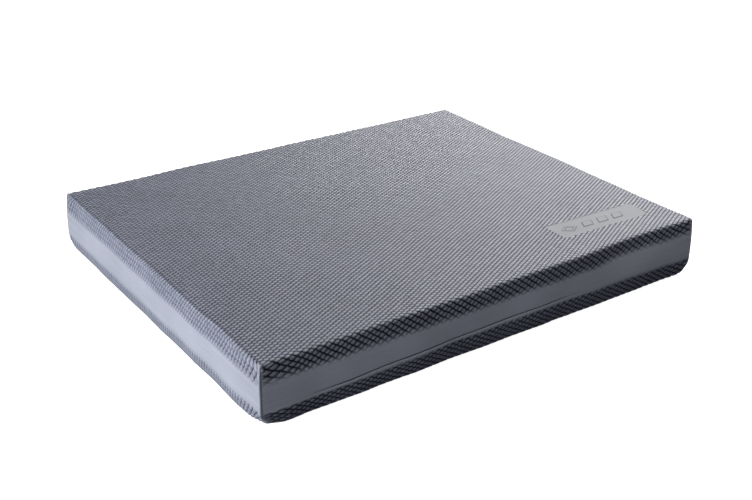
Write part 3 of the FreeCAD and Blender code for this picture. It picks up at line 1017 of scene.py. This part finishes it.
def foam_bump(nodes, emboss, grain, streak):
    """The finest relief: grain all over, and streaks that grow deeper near the upright corners."""
    dragged = nodes.math("MULTIPLY", nodes.number("drag"), DRAG_HEIGHT)
    lines = nodes.math("MULTIPLY", nodes.math("ADD", dragged, STREAK_HEIGHT), streak)
    lines = nodes.math("MULTIPLY", lines, nodes.math("SUBTRACT", 1.2, emboss))
    height = nodes.math("ADD", nodes.math("MULTIPLY", grain, GRAIN_HEIGHT), lines)
    return nodes.add("ShaderNodeBump", Height=height, Strength=1.0, Distance=1.0).outputs[0]


def make_foam(name, plain, embossed, groove, gloss_low, gloss_high, sheen):
    """Closed-cell foam: bare skin and darker embossed skin, mottled, grainy and streaked, with painted shade
    in its grooves and darkened lines.
    """
    material = bpy.data.materials.new(name)
    material.use_nodes = True
    nodes = Nodes(material)
    shader = material.node_tree.nodes["Principled BSDF"]
    emboss = nodes.number("emboss")
    from_middle = rounded(nodes)
    sunk = painted_shade_parts(nodes, emboss, from_middle)
    grain = nodes.noise(GRAIN_SCALE, 2.0)
    mottle = nodes.noise(MOTTLE_SCALE, 3.0)
    streak = nodes.noise(1.0, 2.0, STREAK_STRETCH)

    colour = nodes.mix(emboss, plain, embossed)
    # Painted shade: the grooves and darkened lines take the groove colour.
    colour = nodes.mix(sunk, colour, groove)
    tone = foam_tone(nodes, emboss, from_middle, mottle, grain, streak)
    nodes.put(shader.inputs["Base Color"], nodes.mix(1.0, colour, tone, "MULTIPLY"))
    nodes.put(shader.inputs["Roughness"], nodes.spread(mottle, 0.3, 0.7, gloss_low, gloss_high))
    gloss = nodes.spread(sunk, 0.0, 1.0, sheen, 0.02)
    gloss = nodes.math("MULTIPLY", gloss, nodes.spread(emboss, 0.0, 1.0, 0.5, 1.0))
    nodes.put(shader.inputs["Specular IOR Level"], gloss)
    nodes.put(shader.inputs["Normal"], foam_bump(nodes, emboss, grain, streak))
    return material


def build_pad():
    """All seven pieces: the two covers, the four sheets of the core and the label."""
    embossed = make_foam("embossed foam", PLAIN_SKIN, RAISED_SKIN, GROOVE_PAINTED_SHADE, 0.45, 0.55, 0.5)
    core = make_foam("core foam", PLAIN_SKIN, RAISED_SKIN, GROOVE_PAINTED_SHADE, 0.5, 0.62, 0.5)
    label = make_foam("label foam", LABEL_SKIN, LABEL_SKIN, LABEL_OUTLINE_SHADE, 0.6, 0.7, 0.2)
    top_section = Section(HEIGHT, TOP_LIP_Z, TOP_EDGE_RADIUS)
    bottom_section = Section(0.0, SEAM_Z, BOTTOM_EDGE_RADIUS)
    lean = (TOP_LEAN_FRONT, TOP_LEAN_LEFT)
    top = Cover(top_section, TOP_STRETCH, fade_top, TOP_DRAWN, TOP_DRAWN_LEFT_FRONT, lean)
    bottom = Cover(bottom_section, BOTTOM_STRETCH, fade_bottom, BOTTOM_DRAWN, BOTTOM_DRAWN, open_seam=True)
    build_cover("top_cover", top, TOP_SEAT_Z, "top_cover_sheet", embossed, label_hole=True)
    build_cover("bottom_cover", bottom, BOTTOM_SEAT_Z, "bottom_cover_sheet", embossed)
    build_upper_core(core)
    build_lower_core(core)
    top_rings = [(RIM_LIP, TOP_LIP_Z), (RIM_ROOT, TOP_SEAT_Z)]
    bottom_rings = [(RIM_ROOT, BOTTOM_SEAT_Z), (RIM_LIP + RIM_TUCK, LOWER_CORE_Z)]
    build_hidden_core("top_core", "top_core_sheet", top_rings, core)
    build_hidden_core("bottom_core", "bottom_core_sheet", bottom_rings, core)
    build_label(label)


def build_floor():
    """A plain white floor that shows to the camera but throws no light back on the pad."""
    mesh = bpy.data.meshes.new("floor")
    signs = ((-1, -1), (1, -1), (1, 1), (-1, 1))
    mesh.from_pydata([(FLOOR_HALF * x, FLOOR_HALF * y, 0.0) for x, y in signs], [], [(0, 1, 2, 3)])
    material = bpy.data.materials.new("floor white")
    material.use_nodes = True
    shader = material.node_tree.nodes["Principled BSDF"]
    shader.inputs["Base Color"].default_value = (0.6, 0.6, 0.6, 1)
    shader.inputs["Roughness"].default_value = 0.9
    shader.inputs["Emission Color"].default_value = (1, 1, 1, 1)
    shader.inputs["Emission Strength"].default_value = 0.95
    mesh.materials.append(material)
    floor = bpy.data.objects.new("floor", mesh)
    bpy.context.scene.collection.objects.link(floor)
    floor.visible_diffuse = False
    floor.visible_glossy = False


def add_softbox(name, place, size, power, colour):
    """A rectangular area light that faces the middle of the pad."""
    light = bpy.data.lights.new(name, "AREA")
    light.shape = "RECTANGLE"
    light.size, light.size_y = size
    light.energy = power
    light.color = colour
    lamp = bpy.data.objects.new(name, light)
    lamp.location = place
    direction = Vector(LIGHT_TARGET) - Vector(place)
    lamp.rotation_euler = direction.to_track_quat("-Z", "Y").to_euler()
    bpy.context.scene.collection.objects.link(lamp)


def build_lights():
    """The softboxes, and a weak sky that shines from the ceiling only."""
    for softbox in SOFTBOXES:
        add_softbox(*softbox)
    world = bpy.data.worlds.new("studio")
    world.use_nodes = True
    tree = world.node_tree
    direction = tree.nodes.new("ShaderNodeTexCoord")
    parts = tree.nodes.new("ShaderNodeSeparateXYZ")
    ceiling = tree.nodes.new("ShaderNodeMapRange")
    for index, number in enumerate((SKY_FROM, SKY_FULL, 0.0, SKY_STRENGTH), start=1):
        ceiling.inputs[index].default_value = number
    tree.links.new(direction.outputs["Generated"], parts.inputs[0])
    tree.links.new(parts.outputs["Z"], ceiling.inputs[0])
    background = tree.nodes["Background"]
    background.inputs["Color"].default_value = SKY_COLOUR
    tree.links.new(ceiling.outputs[0], background.inputs["Strength"])
    bpy.context.scene.world = world
    bpy.context.scene.view_settings.view_transform = "Standard"


def build_camera():
    """The camera, on a line from the origin and shifted a little in its own picture plane."""
    azimuth = math.radians(CAMERA_AZIMUTH)
    elevation = math.radians(CAMERA_ELEVATION)
    roll = math.radians(CAMERA_ROLL)
    level_part = math.cos(elevation)
    back = Vector((math.sin(azimuth) * level_part, -math.cos(azimuth) * level_part, math.sin(elevation)))
    level = Vector((math.cos(azimuth), math.sin(azimuth), 0.0))
    upright = back.cross(level)
    right = level * math.cos(roll) + upright * math.sin(roll)
    up = upright * math.cos(roll) - level * math.sin(roll)
    data = bpy.data.cameras.new("camera")
    data.lens = CAMERA_LENS
    data.sensor_width = SENSOR_WIDTH
    data.clip_start = 0.01
    camera = bpy.data.objects.new("camera", data)
    camera.matrix_world = Matrix((right, up, back)).transposed().to_4x4()
    camera.location = back * CAMERA_DISTANCE + right * CAMERA_SIDE + up * CAMERA_LIFT
    bpy.context.scene.collection.objects.link(camera)
    bpy.context.scene.camera = camera


build_pad()
build_floor()
build_lights()
build_camera()
